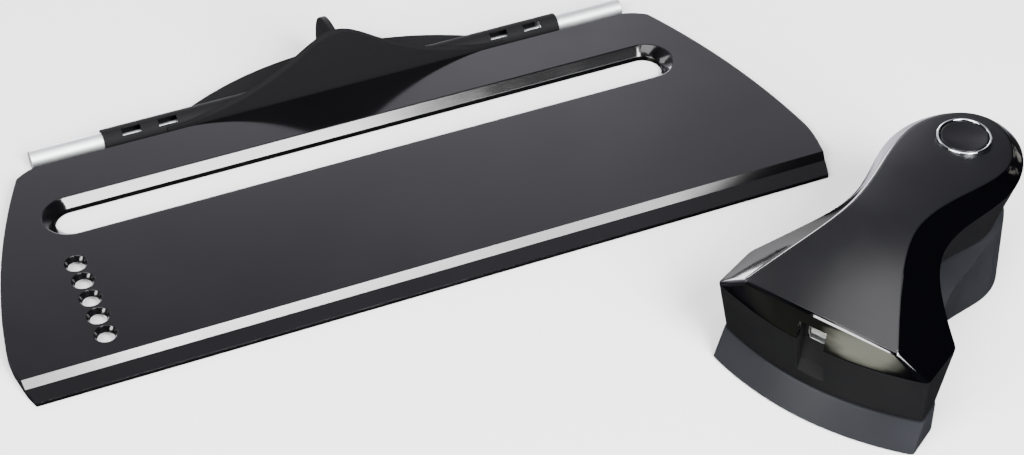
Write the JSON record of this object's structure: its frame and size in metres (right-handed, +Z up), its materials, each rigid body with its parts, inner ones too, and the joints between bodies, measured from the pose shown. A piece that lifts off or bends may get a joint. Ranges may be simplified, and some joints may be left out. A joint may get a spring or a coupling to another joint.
{
  "type": "strip-reading printer calibrator",
  "caption": "Hand-held colour measuring head with a push button, seated on its calibration base, beside a slotted reading guide with a bell-shaped grip and a roller rod.",
  "frame": {"origin": "Middle of the guide plate's non-slip strip, on the table.", "axes": "X along the guide, Y from the guide's front lip to its grip, Z up."},
  "size_m": [0.3776, 0.3002, 0.0648],
  "materials": {
    "guide_black": "satin-gloss black moulding",
    "grip_black": "fine matt black moulding",
    "screw_steel": "plain zinc",
    "rod_aluminium": "turned and satin",
    "rubber_black": "matt",
    "base_grey": "satin blue-grey moulding",
    "inner_black": "matt",
    "socket_grey": "satin",
    "tile_white": "glazed white ceramic",
    "case_black": "fine matt grain",
    "surround_gloss": "polished black",
    "panel_soft": "soft-touch dark grey",
    "ring_chrome": "polished",
    "button_black": "fine matt, dished",
    "board_green": "solder mask",
    "board_white": "white solder mask",
    "chip_black": "moulded package",
    "socket_steel": "tinned sheet",
    "cable_tan": "polyester film",
    "lens_glass": "clear",
    "lamp_yellow": "phosphor under clear resin"
  },
  "bodies": {
    "guide": {"guide_plate": "guide_black", "guide_grip": "grip_black", "grip_screws": "screw_steel", "grip_strips": "rubber_black", "base_shell": "base_grey", "base_floor": "inner_black", "base_screws": "screw_steel", "base_feet": "rubber_black", "tile_holder": "inner_black", "calibration_tile": "tile_white"},
    "roller": {"roller_rod": "rod_aluminium"},
    "head": {"lower_case": "case_black", "gloss_surround": "surround_gloss", "top_panel": "panel_soft", "case_screws": "screw_steel", "button_ring": "ring_chrome", "switch_body": "chip_black", "switch_board": "board_green", "recess_liner": "case_black", "usb_shell": "socket_steel", "usb_tongue": "socket_grey", "main_board": "board_green", "board_chips": "chip_black", "board_screws": "screw_steel", "flat_cable": "cable_tan", "nose_barrel": "inner_black", "nose_foot": "inner_black", "lens": "lens_glass", "lamp_board": "board_white", "lamps_set": "lamp_yellow", "sensor_board": "board_green", "sensor_chip": "chip_black"},
    "button": {"button_cap": "button_black", "switch_plunger": "cable_tan"}
  },
  "joints": [
    {"name": "roller_spin", "type": "hinge", "parent": "guide", "child": "roller", "pos_m": [0, 0.0695, 0.004], "axis": [1, 0, 0], "continuous": true},
    {"name": "head_lift", "type": "slide", "parent": "guide", "child": "head", "axis": [0, 0, 1], "range_m": [0, 0.045]},
    {"name": "button_press", "type": "slide", "parent": "head", "child": "button", "axis": [0, 0, -1], "range_m": [0, 0.001], "stiffness_N_per_m": 1500}
  ]
}
